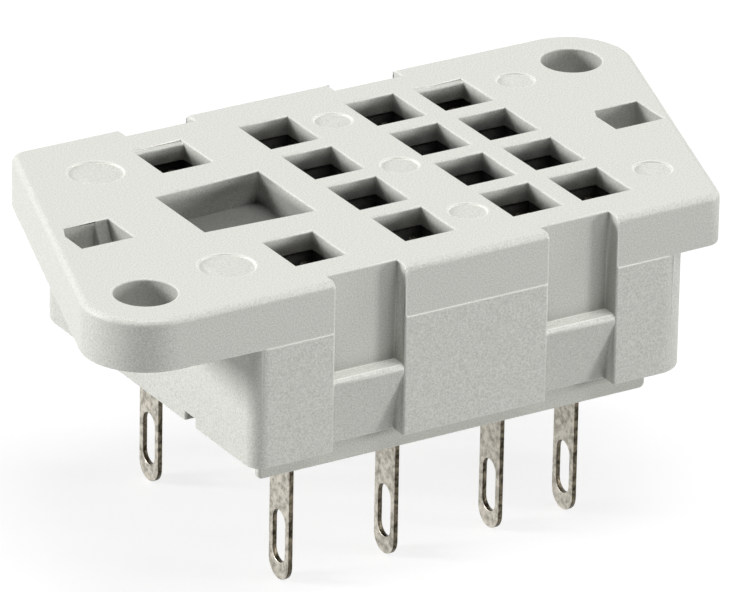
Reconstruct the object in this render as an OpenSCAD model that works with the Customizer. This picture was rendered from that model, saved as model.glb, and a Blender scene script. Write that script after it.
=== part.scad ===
// Solder-tag socket for a plug-in relay with two coil blades and two changeover contacts.
// A light moulded housing screws to a panel through two diagonal ears and snaps into it with
// four wedges. A moulded base plate closes it from below and holds eight folded terminals.
// The housing has windows for a relay with four contacts too, whose middle rows stay empty.
// The socket stands on the tips of its tags: +X runs along the flange, +Z up to the relay.

/* [Mounting flange] */
// Distance between the two screw holes along the flange
screw_spacing_x = 34.2; // [33:0.1:38]
// Distance between the two screw holes across the flange
screw_spacing_y = 15; // [14:0.1:17]
// Diameter of the screw holes
screw_hole_d = 3.2; // [2.4:0.1:4]
// Width of the flange and of the body
flange_w = 22; // [21:0.1:24]
// Radius of the two rounded ears beside the screw holes
ear_r = 3.37; // [2.8:0.01:4.2]
// Thickness of the flange
flange_t = 2.8; // [2.2:0.1:4]
// Distance of the short corners' centres from the middle of the flange
short_corner_x = 13.8; // [13:0.1:15.5]
// Radius of the two short corners
short_corner_r = 1; // [0.6:0.1:2]
// Radius of the flange's upper edge
upper_edge_r = 0.35; // [0.2:0.05:0.6]
// Step at the mould's parting line, where the body stands out below the flange
parting_step = 0.04; // [0.02:0.01:0.1]

/* [Body] */
// Length of the body below the flange
body_l = 25.7; // [24:0.1:27]
// Height of the body below the flange
body_h = 6.5; // [5.5:0.1:8]
// Radius of the body's front left and back right corners
tight_corner_r = 0.85; // [0.4:0.05:1.2]
// Radius of the body's other two corners
wide_corner_r = 1.7; // [1:0.1:2.2]
// Width of the release notch in the lower edge of each end wall
notch_w = 1; // [0.6:0.1:2]
// Height of the release notch
notch_h = 0.5; // [0.3:0.1:1]
// Depth of the release notch into the end wall
notch_depth = 0.6; // [0.3:0.1:1]
// Distance of the release notch from the middle of the end wall
notch_y = 4.65; // [3:0.05:7]

/* [Snap-in channels] */
// Width of the block between the two channels of a side
block_w = 8.4; // [7:0.1:9]
// Width of a channel
channel_w = 4.05; // [3.5:0.05:4.3]
// Depth of a channel
channel_depth = 1; // [0.6:0.1:1.4]
// Radius of a channel's outer edges
mouth_r = 0.12; // [0.08:0.02:0.4]
// Gap for the panel between the flange and a wedge's ledge
panel_gap = 2.6; // [1:0.1:4]
// Size of the bevel on a wedge's nose
wedge_nose = 0.2; // [0.1:0.05:0.4]

/* [Relay windows] */
// Length of a window, along the flange
window_l = 2.9; // [2.3:0.05:3.1]
// Width of a window, across the flange
window_w = 3.3; // [2.8:0.05:3.4]
// Distance between two rows of windows
row_pitch = 4.4; // [4.2:0.05:4.6]
// Place of the left edge of the coil windows
coil_x = -8.95; // [-9.4:0.05:-8.5]
// Distance from the coil windows to the common windows
common_pitch = 6.35; // [6:0.05:6.6]
// Distance from the common windows to the normally open windows
open_pitch = 6.35; // [6:0.05:6.6]
// Distance from the normally open windows to the normally closed windows
closed_pitch = 4.1; // [3.8:0.05:4.4]
// Thickness of the wall that the windows pass through
top_wall = 1.1; // [0.8:0.1:1.3]
// Space that a terminal chamber is wider than its window, on each side
chamber_margin = 0.15; // [0:0.05:0.3]
// Width of the ledge along the back of the two outer back windows
ledge_w = 0.3; // [0.2:0.05:0.6]
// Depth of that ledge below the top
ledge_depth = 0.15; // [0.1:0.05:0.4]

/* [Recess and clip holes] */
// Place of the left edge of the coil-side recess
recess_x = -10.82; // [-11.2:0.01:-10.4]
// Length of the recess
recess_l = 6.2; // [5.5:0.1:6.6]
// Width of the recess at its left end
recess_w_left = 5; // [4:0.1:6]
// Width of the recess at its right end
recess_w_right = 5.7; // [4:0.1:6]
// Depth of the recess
recess_depth = 1.8; // [1:0.1:3]
// Distance of the clip holes from the middle of the flange
clip_x = 15.7; // [15:0.1:16.5]
// Length of a clip hole
clip_l = 2.95; // [2.2:0.05:3.2]
// Width of a clip hole
clip_w = 2.6; // [2:0.1:3.2]
// Length of the cut corner of a clip hole
clip_cut_l = 0.4; // [0.2:0.05:0.8]
// Width of the cut corner of a clip hole
clip_cut_w = 0.9; // [0.4:0.1:1.2]
// Width of the rib that guides the clip in the left hole
rib_w = 0.75; // [0.5:0.05:1.2]
// Height that the rib grows to from its wall
rib_h = 0.6; // [0.3:0.05:0.9]
// Depth below the top at which the rib has grown to its height
rib_slope = 1.1; // [0.6:0.1:2]
// Gap between the rib and the hole's inner wall
rib_gap = 0.05; // [0.03:0.01:0.2]

/* [Base plate] */
// Thickness of the base plate
base_t = 0.5; // [0.4:0.05:0.8]
// Distance from the body's end faces to the base plate's ends
base_end_inset = 1.1; // [0.8:0.05:1.5]
// Distance from the body's long faces to the base plate's edges
base_side_inset = 1.4; // [1.1:0.05:1.6]
// Depth of the stiffening lips below the plate
lip_drop = 0.8; // [0.5:0.1:1.2]
// Thickness of the lips
lip_t = 0.5; // [0.3:0.05:0.7]
// Length that each lip stops short of one end
lip_short = 0.65; // [0.3:0.05:1.5]
// Radius of the lower corners at the lips' ends
lip_corner_r = 0.3; // [0.1:0.05:0.5]

/* [Terminals] */
// Length of the solder tags below the base plate
tag_l = 8.2; // [6:0.1:10]
// Width of a solder tag
tag_w = 1.9; // [1.7:0.1:2.2]
// Width of the slot in a tag
slot_w = 1.25; // [0.8:0.05:1.4]
// Length of the slot in a tag
slot_l = 2.9; // [2:0.1:3.5]
// Distance from a tag's tip to its slot
slot_tip = 0.93; // [0.6:0.01:1.2]
// Thickness of the strip that the terminals are folded from
strip_t = 0.3; // [0.2:0.05:0.4]
// Distance from the coil windows' left edge to their tags
coil_tag_x = 0.35; // [0.05:0.05:0.5]
// Distance from the common windows' left edge to their tags
common_tag_x = 0.2; // [0.05:0.05:0.5]
// Distance from the normally open windows' left edge to their tags
open_tag_x = 0.1; // [0.05:0.05:0.5]
// Distance from the normally closed windows' left edge to their tags
closed_tag_x = 0.45; // [0.05:0.05:0.5]
// Height of the folded cage that seats on the base plate
cage_h = 3.3; // [2.5:0.1:4.5]
// Inner radius of the cage's folds
fold_r = 0.3; // [0.1:0.05:0.5]
// Width of the two contact fingers
finger_w = 2.6; // [2:0.1:3]
// Gap between the fingers where they grip a relay blade
grip_gap = 0.44; // [0.3:0.02:0.6]
// Depth of the grip below the housing's top
grip_depth = 2.8; // [2.4:0.1:3.6]
// Depth of the fingertips below the housing's top
tip_depth = 1.4; // [1.35:0.05:2]
// Distance that each fingertip flares out from the grip
flare = 0.35; // [0.1:0.05:0.5]
// Clearance between a cage and its chamber
cage_play = 0.1; // [0.05:0.05:0.15]
// Clearance between a tag and its slot in the base plate
tag_play = 0.05; // [0.03:0.01:0.1]

/* [Hidden] */
$fn = 64;
eps = 0.01;
// Overlap that roots an added rib or ledge in its wall
root = 0.1;

housing_colour = "gainsboro";
base_colour = "lightgray";
terminal_colour = "darkgray";

// Levels, from the tag tips up
seat_z = tag_l + base_t;
flange_z = seat_z + body_h;
top_z = flange_z + flange_t;

// Half sizes of the flange and the body
half_w = flange_w / 2;
flange_half_w = half_w - parting_step;
body_half_l = body_l / 2;

// Left half of the flange's outline: centres of the ear and of the short corner
ear = [-screw_spacing_x / 2, ear_r - flange_half_w];
short_corner = [-short_corner_x, flange_half_w - short_corner_r];

// Ejector marks on the top face: place and diameter
mark_depth = 0.1;
EJECTOR_MARKS = [
    [-11.95, 6.6, 2.9], [-11.95, -6.6, 2.9], [13.1, 6.6, 2], [13.1, -6.6, 2],
    [2.05, 6.6, 2], [2.05, 0, 2], [2.05, -6.6, 2]
];

// Window columns: left edge, tag distance and rows, where row 1 is at the back
COIL = [coil_x, coil_tag_x, [1, 4]];
COMMON = [COIL.x + common_pitch, common_tag_x, [1:4]];
OPEN = [COMMON.x + open_pitch, open_tag_x, [1:4]];
CLOSED = [OPEN.x + closed_pitch, closed_tag_x, [1:4]];
COLUMNS = [COIL, COMMON, OPEN, CLOSED];
LEDGED_COLUMNS = [COIL, CLOSED];

// Rows that hold terminals
FITTED_ROWS = [1, 4];

function row_y(row) = (2.5 - row) * row_pitch;

// The child and its copy turned half round: the socket's outside is alike both ways
module both_ways() {
    children();
    rotate(180) children();
}

// One child at every window or terminal place, set at the window's left edge and row
module at_windows(columns, rows = [1:4]) {
    for (column = columns, row = column.z)
        if (len([for (r = rows) if (r == row) r]) > 0)
            translate([column.x, row_y(row)]) children();
}

// Flange outline, drawn in by `inset`: two ears and two short corners
module flange_outline(inset) {
    both_ways() {
        translate(ear) circle(ear_r - inset);
        translate(short_corner) circle(short_corner_r - inset);
    }
}

// Flange plate: straight sides up to the rounded upper edge
module flange() {
    steps = 5;
    hull() {
        translate([0, 0, flange_z]) linear_extrude(eps) flange_outline(0, $fn = 48);
        for (i = [0:steps]) {
            angle = 90 * i / steps;
            translate([0, 0, top_z - upper_edge_r * (1 - sin(angle)) - eps])
                linear_extrude(eps) flange_outline(upper_edge_r * (1 - cos(angle)), $fn = 48);
        }
    }
}

// Body outline with two tight and two wide corners
module body_outline() {
    half = [body_half_l, half_w];
    for (corner = [[1, tight_corner_r], [-1, wide_corner_r]]) {
        r = corner[1];
        both_ways()
            translate([r - half.x, corner[0] * (r - half.y)]) circle(r);
    }
    both_ways()
        polygon([
            [-half.x, tight_corner_r - half.y], [tight_corner_r - half.x, -half.y],
            [half.x - wide_corner_r, -half.y], [half.x, wide_corner_r - half.y],
            [half.x, 0], [-half.x, 0]
        ]);
}

// One channel seen from above, with its outer edges rounded
module channel_outline() {
    translate([block_w / 2, -half_w - eps]) square([channel_w, channel_depth + eps]);
    for (edge = [[block_w / 2, -1], [block_w / 2 + channel_w, 1]])
        translate([edge[0] + edge[1] * mouth_r, mouth_r - half_w])
            difference() {
                translate([-edge[1] * mouth_r / 2, -mouth_r / 2])
                    square([mouth_r + eps, mouth_r + 2 * eps], center = true);
                circle(mouth_r);
            }
}

// The four channels cut the long sides over their full height
module channels() {
    both_ways()
        for (side = [0, 1])
            mirror([side, 0, 0])
                translate([0, 0, seat_z - eps])
                    linear_extrude(top_z - seat_z + 2 * eps) channel_outline();
}

// Snap wedges: a flat ledge that catches the panel, tapering away below
module wedges() {
    ledge_z = flange_z - panel_gap;
    root_y = channel_depth + root - half_w;
    profile = [
        [wedge_nose - half_w, ledge_z], [root_y, ledge_z], [root_y, seat_z],
        [channel_depth - half_w, seat_z], [-half_w, ledge_z - wedge_nose]
    ];
    both_ways()
        for (side = [0, 1])
            mirror([side, 0, 0])
                translate([block_w / 2 - eps, 0, 0])
                    rotate([90, 0, 90])
                        linear_extrude(channel_w + 2 * eps) polygon(profile);
}

// Terminal chambers, open below, and the windows over them
module chambers() {
    at_windows(COLUMNS) {
        translate([-chamber_margin, -window_w / 2 - chamber_margin, seat_z - eps])
            cube([
                window_l + 2 * chamber_margin,
                window_w + 2 * chamber_margin,
                body_h + flange_t - top_wall + eps
            ]);
        translate([0, -window_w / 2, top_z - top_wall - eps])
            cube([window_l, window_w, top_wall + 2 * eps]);
    }
}

// Ledge along the back of the two outer back windows
module window_ledges() {
    at_windows(LEDGED_COLUMNS, [1])
        translate([-root, window_w / 2 - ledge_w, top_z - top_wall])
            cube([window_l + 2 * root, ledge_w + root, top_wall - ledge_depth]);
}

// Blind recess between the coil windows
module recess() {
    translate([recess_x, 0, top_z - recess_depth])
        linear_extrude(recess_depth + eps)
            polygon([
                [0, -recess_w_left / 2], [recess_l, -recess_w_right / 2],
                [recess_l, recess_w_right / 2], [0, recess_w_left / 2]
            ]);
}

// Hole for a leg of the relay's retaining clip, with one corner cut
module clip_hole() {
    translate([0, 0, flange_z - eps])
        linear_extrude(flange_t + 2 * eps)
            polygon([
                [-clip_l, -clip_w] / 2, [clip_l, -clip_w] / 2, [clip_l, clip_w] / 2,
                [clip_cut_l - clip_l / 2, clip_w / 2], [-clip_l / 2, clip_w / 2 - clip_cut_w]
            ]);
}

// Rib on the back wall of the left clip hole, which grows out from just below the top
module clip_rib() {
    wall_y = clip_w / 2;
    start_z = top_z - rib_gap;
    profile = [
        [wall_y, start_z], [wall_y - rib_h, top_z - rib_slope], [wall_y - rib_h, flange_z],
        [wall_y + root, flange_z], [wall_y + root, start_z]
    ];
    translate([clip_l / 2 - clip_x - rib_gap - rib_w, 0, 0])
        rotate([90, 0, 90])
            linear_extrude(rib_w) polygon(profile);
}

// Notches in the lower edge of the end walls, to lift the base plate out
module notches() {
    both_ways()
        translate([-body_half_l - eps, -notch_y - notch_w / 2, seat_z - eps])
            cube([notch_depth + eps, notch_w, notch_h + eps]);
}

module screw_holes() {
    both_ways()
        translate([-screw_spacing_x / 2, -screw_spacing_y / 2, flange_z - eps])
            cylinder(d = screw_hole_d, h = flange_t + 2 * eps);
}

module ejector_marks() {
    for (mark = EJECTOR_MARKS)
        translate([mark.x, mark.y, top_z - mark_depth])
            cylinder(d = mark.z, h = mark_depth + eps);
}

// One moulding: flange, body and wedges, with the chambers open from below
module housing() {
    color(housing_colour) {
        difference() {
            union() {
                flange();
                translate([0, 0, seat_z]) linear_extrude(body_h + eps) body_outline();
            }
            channels();
            chambers();
            recess();
            for (side = [-1, 1])
                translate([side * clip_x, 0, 0]) clip_hole();
            screw_holes();
            ejector_marks();
            notches();
        }
        wedges();
        window_ledges();
        clip_rib();
    }
}

// Long lip under one edge of the base plate, rounded at its lower corners
module lip() {
    plate_half_l = body_half_l - base_end_inset;
    lip_l = 2 * plate_half_l - lip_short;
    translate([-plate_half_l, lip_t + base_side_inset - half_w, tag_l])
        rotate([90, 0, 0])
            linear_extrude(lip_t) {
                translate([0, lip_corner_r - lip_drop]) square([lip_l, lip_drop - lip_corner_r + eps]);
                translate([lip_corner_r, -lip_drop]) square([lip_l - 2 * lip_corner_r, lip_drop]);
                for (x = [lip_corner_r, lip_l - lip_corner_r])
                    translate([x, lip_corner_r - lip_drop]) circle(lip_corner_r);
            }
}

// One moulding: thin plate that closes the chambers, with a slot for each tag
module base_plate() {
    size = [2 * (body_half_l - base_end_inset), 2 * (half_w - base_side_inset)];
    slot = [strip_t, tag_w] + 2 * [tag_play, tag_play];
    color(base_colour)
        difference() {
            union() {
                translate([0, 0, tag_l]) linear_extrude(base_t) square(size, center = true);
                both_ways() lip();
            }
            for (column = COLUMNS)
                at_windows([column], FITTED_ROWS)
                    translate([column.y, 0, tag_l - eps])
                        linear_extrude(base_t + 2 * eps) square(slot, center = true);
        }
}

// Solder tag with a round tip and a long slot, seen from the side
module tag_outline() {
    difference() {
        union() {
            translate([0, tag_w / 2]) circle(tag_w / 2);
            translate([-tag_w / 2, tag_w / 2]) square([tag_w, seat_z + eps - tag_w / 2]);
        }
        for (z = [slot_w / 2, slot_l - slot_w / 2])
            translate([0, slot_tip + z]) circle(slot_w / 2);
        translate([-slot_w / 2, slot_tip + slot_w / 2]) square([slot_w, slot_l - slot_w]);
    }
}

// Strip folded twice into a cage that is open at the front, seen from above
module cage_outline(left, right) {
    cage_w = window_w + 2 * (chamber_margin - cage_play);
    difference() {
        folded_end(left, right, cage_w, cage_w / 2, fold_r + strip_t);
        folded_end(left + strip_t, right - strip_t, cage_w, cage_w / 2 - strip_t, fold_r);
    }
}

// Block from `left` to `right` whose two back corners are rounded
module folded_end(left, right, depth, back, r) {
    translate([left, back - depth]) square([right - left, depth - r]);
    translate([left + r, back - depth]) square([right - left - 2 * r, depth]);
    for (x = [left + r, right - r])
        translate([x, back - r]) circle(r);
}

// Contact finger that leans in from `root` to the grip and flares out again, towards `side`
module finger(root, side) {
    grip_x = window_l / 2 + side * (grip_gap + strip_t) / 2;
    line = [
        [root, seat_z + cage_h - eps], [grip_x, top_z - grip_depth],
        [grip_x + side * flare, top_z - tip_depth]
    ];
    half = [strip_t / 2, 0];
    rotate([90, 0, 0])
        linear_extrude(finger_w, center = true)
            polygon([for (p = line) p - half, for (i = [2:-1:0]) line[i] + half]);
}

// Terminal folded from one strip: tag, cage and two fingers, counted from the back of `column`
module terminal(column, number) {
    tag_x = column.y;
    leaf_x = window_l + chamber_margin - cage_play - strip_t / 2;
    color(terminal_colour)
        translate([column.x, row_y(FITTED_ROWS[number - 1]), 0]) {
            translate([tag_x, 0, 0])
                rotate([90, 0, 90]) linear_extrude(strip_t, center = true) tag_outline();
            translate([0, 0, seat_z])
                linear_extrude(cage_h) cage_outline(tag_x - strip_t / 2, leaf_x + strip_t / 2);
            finger(tag_x, -1);
            finger(leaf_x, 1);
        }
}

module coil_terminal(number) { terminal(COIL, number); }
module common_terminal(number) { terminal(COMMON, number); }
module open_terminal(number) { terminal(OPEN, number); }
module closed_terminal(number) { terminal(CLOSED, number); }

housing();
base_plate();
for (i = [1:2]) {
    coil_terminal(i);
    common_terminal(i);
    open_terminal(i);
    closed_terminal(i);
}
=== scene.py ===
"""Relay socket with solder tags: a light grey moulded housing on its base plate, with eight
folded and tinned terminals, standing on its tag tips on a pale table. Lengths are in metres."""
import math

import bmesh
import bpy
import numpy as np
from mathutils import Matrix, Vector


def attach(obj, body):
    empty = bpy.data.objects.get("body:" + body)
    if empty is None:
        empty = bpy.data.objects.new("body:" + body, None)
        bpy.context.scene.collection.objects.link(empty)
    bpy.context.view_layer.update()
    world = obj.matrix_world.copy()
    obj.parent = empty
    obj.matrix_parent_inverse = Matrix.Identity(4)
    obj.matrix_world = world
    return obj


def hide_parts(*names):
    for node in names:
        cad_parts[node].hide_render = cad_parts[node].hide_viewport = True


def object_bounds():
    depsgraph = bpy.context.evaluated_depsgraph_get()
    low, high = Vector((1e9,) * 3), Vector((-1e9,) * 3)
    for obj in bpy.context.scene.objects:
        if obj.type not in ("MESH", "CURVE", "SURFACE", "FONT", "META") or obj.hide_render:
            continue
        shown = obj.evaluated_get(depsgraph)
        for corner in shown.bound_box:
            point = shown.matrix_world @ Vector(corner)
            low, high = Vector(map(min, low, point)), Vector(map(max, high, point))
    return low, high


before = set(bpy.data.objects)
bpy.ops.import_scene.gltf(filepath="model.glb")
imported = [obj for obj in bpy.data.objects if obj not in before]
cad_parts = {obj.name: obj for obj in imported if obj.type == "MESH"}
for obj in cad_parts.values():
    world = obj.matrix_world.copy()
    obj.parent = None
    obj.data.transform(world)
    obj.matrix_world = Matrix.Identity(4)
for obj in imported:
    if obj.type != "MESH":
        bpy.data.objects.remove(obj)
cad_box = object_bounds()
MM = 0.001

# ---- Camera -------------------------------------------------------------------------------
# A long lens looks down on the front left corner, so that lines along the flange stay almost
# parallel. It aims a little in front of the socket's middle.
AIM_FROM_MIDDLE = Vector((-4.66, -8.27, 6.41)) * MM
CAMERA_DISTANCE = 432.9 * MM
CAMERA_YAW = math.radians(31.49)
CAMERA_PITCH = math.radians(24.23)
CAMERA_ROLL = math.radians(1.098)
FOCAL_LENGTH = 423.15
SENSOR_WIDTH = 36.0

middle = (cad_box[0] + cad_box[1]) / 2
turn = (
    Matrix.Rotation(-CAMERA_YAW, 4, "Z")
    @ Matrix.Rotation(math.pi / 2 - CAMERA_PITCH, 4, "X")
    @ Matrix.Rotation(CAMERA_ROLL, 4, "Z")
)
camera_data = bpy.data.cameras.new("camera")
camera_data.lens = FOCAL_LENGTH
camera_data.sensor_width = SENSOR_WIDTH
camera_data.clip_start = 0.01
camera_data.clip_end = 20.0
camera = bpy.data.objects.new("camera", camera_data)
place = Matrix.Translation(middle + AIM_FROM_MIDDLE) @ turn
camera.matrix_world = place @ Matrix.Translation((0, 0, CAMERA_DISTANCE))
bpy.context.scene.collection.objects.link(camera)
bpy.context.scene.camera = camera


# ---- Housing ------------------------------------------------------------------------------
# One injection moulding in light grey, glass-filled thermoplastic: flange, body, channels and
# snap wedges. Every edge that the mould leaves sharp still has a radius of about a tenth of a
# millimetre, and the skin has the fine matt grain of a spark-eroded mould.
CREASE_ANGLE = math.radians(22)
ROUNDED_ANGLE = math.radians(60)
FLAT_ANGLE = math.radians(0.5)
MERGE_DISTANCE = 0.0005 * MM
HOUSING_EDGE = 0.1 * MM
# Thinnest edge radius, as a share of the full one, that is still worth rounding.
THINNEST_RADIUS = 0.3
# Real fibres are a hundredth of a millimetre thick; the flecks are drawn coarser so that they show.
FLECK_SIZE = 0.08 * MM
# The mould's spark-eroded grain is a few hundredths of a millimetre, and is drawn coarser too.
GRAIN_SIZE = MM / 6
GRAIN_HEIGHT = 0.02 * MM
# Width of the painted highlight along an edge.
EDGE_HIGHLIGHT_REACH = 0.14 * MM
# Painted shade in the hollows: how far a wall looks for others, where the windowed core ends, and how
# deep its rim is.
HOLLOW_REACH = 5.0 * MM
CORE_HALF_LENGTH = 12.7 * MM
CORE_HALF_WIDTH = 9.9 * MM
RIM_DEPTH = 0.75 * MM


def rgb(code):
    """sRGB hex code to linear colour with alpha."""
    channels = [int(code[i:i + 2], 16) / 255 for i in (1, 3, 5)]
    linear = [c / 12.92 if c <= 0.04045 else ((c + 0.055) / 1.055) ** 2.4 for c in channels]
    return (*linear, 1.0)


def add(tree, kind, settings=None, **links):
    """Adds a node, sets its properties and sockets, and links sockets given as outputs."""
    made = tree.nodes.new(kind)
    for key, value in (settings or {}).items():
        setattr(made, key, value)
    for key, value in links.items():
        socket = made.inputs[int(key[1:]) if key[1:].isdigit() else key.replace("_", " ")]
        if isinstance(value, bpy.types.NodeSocket):
            tree.links.new(value, socket)
        else:
            socket.default_value = value
    return made


def new_material(name):
    """An empty material with its output node; returns the material, its tree and its output."""
    made = bpy.data.materials.new(name)
    made.use_nodes = True
    made.node_tree.nodes.clear()
    return made, made.node_tree, add(made.node_tree, "ShaderNodeOutputMaterial")


def painted_hollow_shade(tree, place):
    """Share of its colour that a wall keeps in a hollow: painted shade, standing in for the light lost
    between the walls. Its strengths are matched to how dark the real hollows look, not worked
    out. In the core a wall keeps all at its upper rim and little below, and a face turned up keeps
    half of that; elsewhere closed-in walls keep more than half and faces turned up keep all."""
    openness = add(
        tree, "ShaderNodeAmbientOcclusion", {"samples": 8, "only_local": True},
        Color=(1.0, 1.0, 1.0, 1.0), Distance=HOLLOW_REACH,
    )
    normal = add(tree, "ShaderNodeNewGeometry").outputs["True Normal"]
    facing_up = add(tree, "ShaderNodeSeparateXYZ", Vector=normal).outputs["Z"]
    where = add(tree, "ShaderNodeSeparateXYZ", Vector=place)
    wall = add(
        tree, "ShaderNodeMapRange", {"interpolation_type": "SMOOTHSTEP"},
        Value=openness.outputs["AO"], From_Min=0.22, From_Max=0.4, To_Min=0.01, To_Max=0.48,
    )
    # Painted shade: a face turned up in a hollow keeps half of its colour.
    floor_shade = add(tree, "ShaderNodeMapRange", Value=facing_up, To_Min=1.0, To_Max=0.5)
    deep = add(
        tree, "ShaderNodeMath", {"operation": "MULTIPLY"}, _0=wall.outputs[0], _1=floor_shade.outputs[0]
    )
    rim = add(
        tree, "ShaderNodeMapRange", {"interpolation_type": "SMOOTHSTEP"},
        Value=where.outputs["Z"], From_Min=cad_box[1].z - RIM_DEPTH, From_Max=cad_box[1].z,
        To_Min=0.0, To_Max=1.0,
    )
    shade_kept = add(
        tree, "ShaderNodeMix", Factor=rim.outputs[0], A=deep.outputs[0], B=1.0
    ).outputs[0]

    # Outside the core, painted shade: closed-in walls keep more than half, faces turned up keep all.
    closed = add(
        tree, "ShaderNodeMapRange", Value=openness.outputs["AO"], From_Min=0.35, From_Max=0.8,
        To_Min=0.6, To_Max=1.0,
    )
    beside = add(
        tree, "ShaderNodeMath", {"operation": "MAXIMUM"}, _0=closed.outputs[0], _1=facing_up
    )
    for axis, reach in (("X", CORE_HALF_LENGTH), ("Y", CORE_HALF_WIDTH)):
        distance = add(tree, "ShaderNodeMath", {"operation": "ABSOLUTE"}, _0=where.outputs[axis])
        outside = add(
            tree, "ShaderNodeMath", {"operation": "GREATER_THAN"}, _0=distance.outputs[0], _1=reach
        )
        shade_kept = add(
            tree, "ShaderNodeMix", Factor=outside.outputs[0], A=shade_kept, B=beside.outputs[0]
        ).outputs[0]
    return shade_kept


def moulded_plastic(name, colour, fleck_colour, edge_highlight_colour, hollow=False):
    """Moulded thermoplastic: fine flecks of glass fibre, a painted highlight along the edges and a
    matt grain, so that it looks dense, dull and faintly speckled. With `hollow`, closed-in walls
    darken with painted shade."""
    material, tree, output = new_material(name)
    place = add(tree, "ShaderNodeTexCoord").outputs["Object"]
    flecks = add(tree, "ShaderNodeTexNoise", Vector=place, Scale=1 / FLECK_SIZE, Detail=1.0)
    body = add(
        tree, "ShaderNodeMix", {"data_type": "RGBA"},
        Factor=flecks.outputs["Fac"], _6=rgb(colour), _7=rgb(fleck_colour),
    ).outputs[2]

    # Painted highlight: the colour turns lighter along every edge, for the light that the rounded
    # edges catch.
    rounded = add(tree, "ShaderNodeBevel", {"samples": 6}, Radius=EDGE_HIGHLIGHT_REACH)
    plain = add(tree, "ShaderNodeNewGeometry").outputs["Normal"]
    agreement = add(
        tree, "ShaderNodeVectorMath", {"operation": "DOT_PRODUCT"}, _0=rounded.outputs[0], _1=plain
    )
    edge = add(
        tree, "ShaderNodeMapRange", Value=agreement.outputs["Value"], From_Min=0.995, From_Max=0.93,
        To_Min=0.0, To_Max=1.0,
    )
    skin = add(
        tree, "ShaderNodeMix", {"data_type": "RGBA"},
        Factor=edge.outputs[0], _6=body, _7=rgb(edge_highlight_colour),
    ).outputs[2]
    # Painted shade darkens the colour in the hollows.
    if hollow:
        shaded_skin = add(
            tree, "ShaderNodeVectorMath", {"operation": "SCALE"},
            _0=skin, Scale=painted_hollow_shade(tree, place),
        )
        skin = shaded_skin.outputs[0]

    grain = add(tree, "ShaderNodeTexNoise", Vector=place, Scale=1 / GRAIN_SIZE, Detail=2.0)
    bump = add(
        tree, "ShaderNodeBump", Strength=0.25, Distance=GRAIN_HEIGHT, Height=grain.outputs["Fac"]
    )
    shader = add(
        tree, "ShaderNodeBsdfPrincipled", Base_Color=skin, Roughness=0.5, IOR=1.5,
        Normal=bump.outputs["Normal"],
    )
    tree.links.new(shader.outputs["BSDF"], output.inputs["Surface"])
    return material


def widths_beside(edges):
    """Distance from the middle of each edge to the nearest edge that runs beside it."""
    ends = np.array([[vert.co[:] for vert in edge.verts] for edge in edges])
    start, run, middles = ends[:, 0], ends[:, 1] - ends[:, 0], ends.mean(axis=1)
    length = np.linalg.norm(run, axis=1)
    # The point of edge k nearest to the middle of edge i is start_k + t run_k, with 0 <= t <= 1.
    t = np.einsum("ikc,kc->ik", middles[:, None] - start, run) / length ** 2
    gap = start + np.clip(t, 0, 1)[..., None] * run - middles[:, None]
    distance = np.linalg.norm(gap, axis=-1)
    ahead = np.abs(np.einsum("ikc,ic->ik", gap, run)) > 0.5 * distance * length[:, None]
    distance[ahead] = np.inf
    np.fill_diagonal(distance, np.inf)
    return distance.min(axis=1)


def moulded_copy(node, material, edge_radius, segments=2):
    """Copy of a CAD node with its faces joined up and its outer edges rounded. Inner corners and
    blunt folds stay creased, and an edge beside a narrow face gets less than half its width. The
    narrow facets of a small fillet stay smooth."""
    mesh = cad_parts[node].data.copy()
    work = bmesh.new()
    work.from_mesh(mesh)
    bmesh.ops.remove_doubles(work, verts=work.verts, dist=MERGE_DISTANCE)
    bmesh.ops.dissolve_limit(work, angle_limit=FLAT_ANGLE, verts=work.verts, edges=work.edges)
    weight = work.edges.layers.float.new("bevel_weight_edge")
    folds = {edge: edge_radius for edge in work.edges if edge.calc_face_angle(0.0) > CREASE_ANGLE}
    for face in work.faces:
        face.smooth = True
        rims = [edge for edge in face.edges if edge in folds]
        if len(rims) > 1:
            for edge, width in zip(rims, widths_beside(rims)):
                folds[edge] = min(folds[edge], 0.45 * width)
    for edge, radius in folds.items():
        sharp_turn = edge.calc_face_angle() > ROUNDED_ANGLE
        if edge.is_convex and sharp_turn and radius > THINNEST_RADIUS * edge_radius:
            edge[weight] = radius / edge_radius
        elif sharp_turn or radius == edge_radius:
            edge.smooth = False
    work.to_mesh(mesh)
    work.free()
    mesh.materials.clear()
    mesh.materials.append(material)
    piece = bpy.data.objects.new(node + "_finished", mesh)
    bpy.context.scene.collection.objects.link(piece)
    bevel = piece.modifiers.new("edge radius", "BEVEL")
    bevel.width = edge_radius
    bevel.segments = segments
    bevel.limit_method = "WEIGHT"
    bevel.use_clamp_overlap = False
    flat = piece.modifiers.new("flat faces stay flat", "WEIGHTED_NORMAL")
    flat.keep_sharp = True
    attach(piece, "root")
    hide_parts(node)
    return piece


# The last colour is the painted edge highlight; the hollows get painted shade.
housing_plastic = moulded_plastic(
    "light grey glass-filled thermoplastic", "#AEAFA7", "#F3F4EE", "#FDFDF8", hollow=True
)
moulded_copy("housing", housing_plastic, HOUSING_EDGE)

# ---- Base plate ---------------------------------------------------------------------------
# A thin moulding in the same plastic, with a stiffening lip along each long side. It closes the
# terminal chambers from below, and its edges are rounder than the housing's.
BASE_EDGE = 0.18 * MM

# The last colour is the painted edge highlight.
base_plastic = moulded_plastic("light grey base plate plastic", "#AEAFA6", "#F3F4EC", "#FDFDF5")
moulded_copy("base_plate", base_plastic, BASE_EDGE, 3)

# ---- Terminals ----------------------------------------------------------------------------
# Eight terminals folded from brass strip that was tinned before stamping. The broad faces are
# warm grey, satin and finely mottled. The sheared edges and slot walls are bare and dulled, and are
# painted darker still for the shade that falls on them.
TAG_EDGE = 0.03 * MM
# The tin's mottling is a few tenths of a millimetre across.
MOTTLE_SIZE = 0.4 * MM
# A broad face looks along the flange, so its normal lies mostly along X.
BROAD_FACE = 0.5

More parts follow.
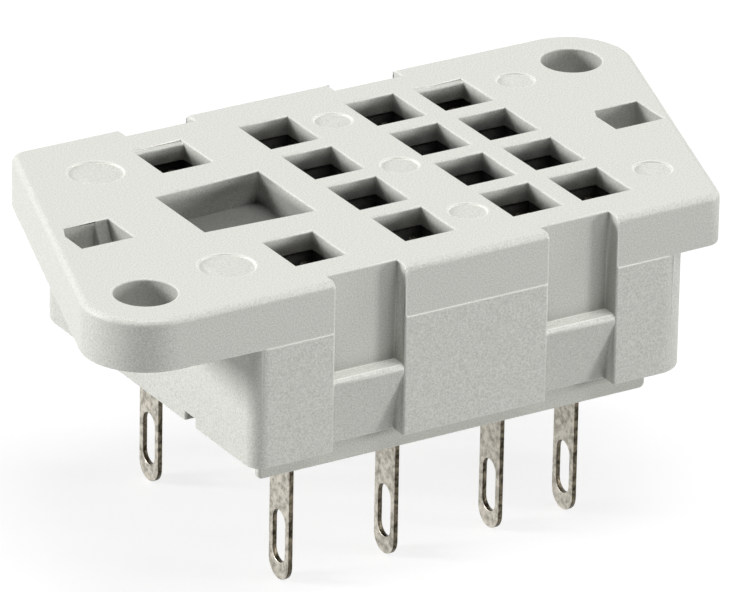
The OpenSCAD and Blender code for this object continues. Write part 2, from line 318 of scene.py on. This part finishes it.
tin, tree, output = new_material("tinned brass strip")
spot = add(tree, "ShaderNodeTexCoord").outputs["Object"]
mottle = add(tree, "ShaderNodeTexNoise", Vector=spot, Scale=1 / MOTTLE_SIZE, Detail=4.0, Roughness=0.7)
plated = add(tree, "ShaderNodeValToRGB", Fac=mottle.outputs["Fac"])
plated.color_ramp.elements[0].position = 0.36
plated.color_ramp.elements[0].color = rgb("#8F8A7F")
plated.color_ramp.elements[1].position = 0.58
plated.color_ramp.elements[1].color = rgb("#CBC6BA")
# Bare sheared metal on the edges, painted darker as well for the shade that falls on them.
bare_and_shaded = add(tree, "ShaderNodeValToRGB", Fac=mottle.outputs["Fac"])
bare_and_shaded.color_ramp.elements[0].position = 0.4
bare_and_shaded.color_ramp.elements[0].color = rgb("#2E2A22")
bare_and_shaded.color_ramp.elements[1].position = 0.65
bare_and_shaded.color_ramp.elements[1].color = rgb("#7A7262")
facing = add(
    tree, "ShaderNodeSeparateXYZ", Vector=add(tree, "ShaderNodeNewGeometry").outputs["True Normal"]
)
across = add(tree, "ShaderNodeMath", {"operation": "ABSOLUTE"}, _0=facing.outputs["X"])
broad = add(tree, "ShaderNodeMath", {"operation": "GREATER_THAN"}, _0=across.outputs[0], _1=BROAD_FACE)
metal = add(
    tree, "ShaderNodeMix", {"data_type": "RGBA"},
    Factor=broad.outputs[0], _6=bare_and_shaded.outputs["Color"], _7=plated.outputs["Color"],
).outputs[2]
shader = add(tree, "ShaderNodeBsdfPrincipled", Base_Color=metal, Metallic=1.0, Roughness=0.4)
tree.links.new(shader.outputs["BSDF"], output.inputs["Surface"])
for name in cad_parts:
    if "terminal" in name:
        moulded_copy(name, tin, TAG_EDGE, 1)

# ---- Table and light ----------------------------------------------------------------------
# A white table top. A soft lamp stands almost overhead and another low at the back left, and
# two weaker ones light the front. The white world shows behind and in reflections.
TABLE_SIZE = 6.0
table_mesh = bpy.data.meshes.new("table")
half = TABLE_SIZE / 2
corners = np.array([(-half, -half), (half, -half), (half, half), (-half, half)])
table_mesh.from_pydata([(x, y, cad_box[0].z) for x, y in corners], [], [(0, 1, 2, 3)])
table = bpy.data.objects.new("table", table_mesh)
bpy.context.scene.collection.objects.link(table)

white_table, tree, output = new_material("white table top")
path = add(tree, "ShaderNodeLightPath")
seen = add(
    tree, "ShaderNodeMath", {"operation": "MAXIMUM"},
    _0=path.outputs["Is Camera Ray"], _1=path.outputs["Is Glossy Ray"],
)
matt = add(tree, "ShaderNodeBsdfDiffuse", Color=(0.5, 0.5, 0.5, 1.0))
shown = add(tree, "ShaderNodeBsdfDiffuse", Color=(0.25, 0.25, 0.25, 1.0))
glow = add(tree, "ShaderNodeEmission", Strength=0.8)
bright = add(tree, "ShaderNodeAddShader", _0=shown.outputs[0], _1=glow.outputs[0])
mixed = add(
    tree, "ShaderNodeMixShader", _0=seen.outputs[0], _1=matt.outputs[0], _2=bright.outputs[0]
)
tree.links.new(mixed.outputs[0], output.inputs["Surface"])
table_mesh.materials.append(white_table)

world = bpy.data.worlds.new("studio")
bpy.context.scene.world = world
world.use_nodes = True
tree = world.node_tree
tree.nodes.clear()
path = add(tree, "ShaderNodeLightPath")
mirrored = add(
    tree, "ShaderNodeMapRange", Value=path.outputs["Is Glossy Ray"], To_Min=0.04, To_Max=1.2
)
level = add(
    tree, "ShaderNodeMath", {"operation": "MAXIMUM"},
    _0=mirrored.outputs[0], _1=path.outputs["Is Camera Ray"],
)
dome = add(tree, "ShaderNodeBackground", Strength=level.outputs[0])
dome.inputs["Color"].default_value = (1.0, 1.0, 1.0, 1.0)
tree.links.new(dome.outputs[0], add(tree, "ShaderNodeOutputWorld").inputs["Surface"])


def soft_lamp(name, azimuth, elevation, power, size, distance=1.0):
    """Square lamp aimed at the socket; azimuth runs from +X towards +Y."""
    data = bpy.data.lights.new(name, "AREA")
    data.energy = power
    data.size = size
    lamp = bpy.data.objects.new(name, data)
    a, e = math.radians(azimuth), math.radians(elevation)
    aim = Vector((math.cos(a) * math.cos(e), math.sin(a) * math.cos(e), math.sin(e)))
    lamp.location = middle + aim * distance
    lamp.rotation_euler = aim.to_track_quat("Z", "Y").to_euler()
    bpy.context.scene.collection.objects.link(lamp)


soft_lamp("overhead_lamp", azimuth=-60, elevation=81, power=6.8, size=0.6)
soft_lamp("front_top_lamp", azimuth=-60, elevation=50, power=1.5, size=0.4)
soft_lamp("front_right_lamp", azimuth=-42, elevation=10, power=3.5, size=0.2)
soft_lamp("back_left_lamp", azimuth=152, elevation=17, power=8.5, size=0.25)

bpy.context.scene.view_settings.view_transform = "Standard"
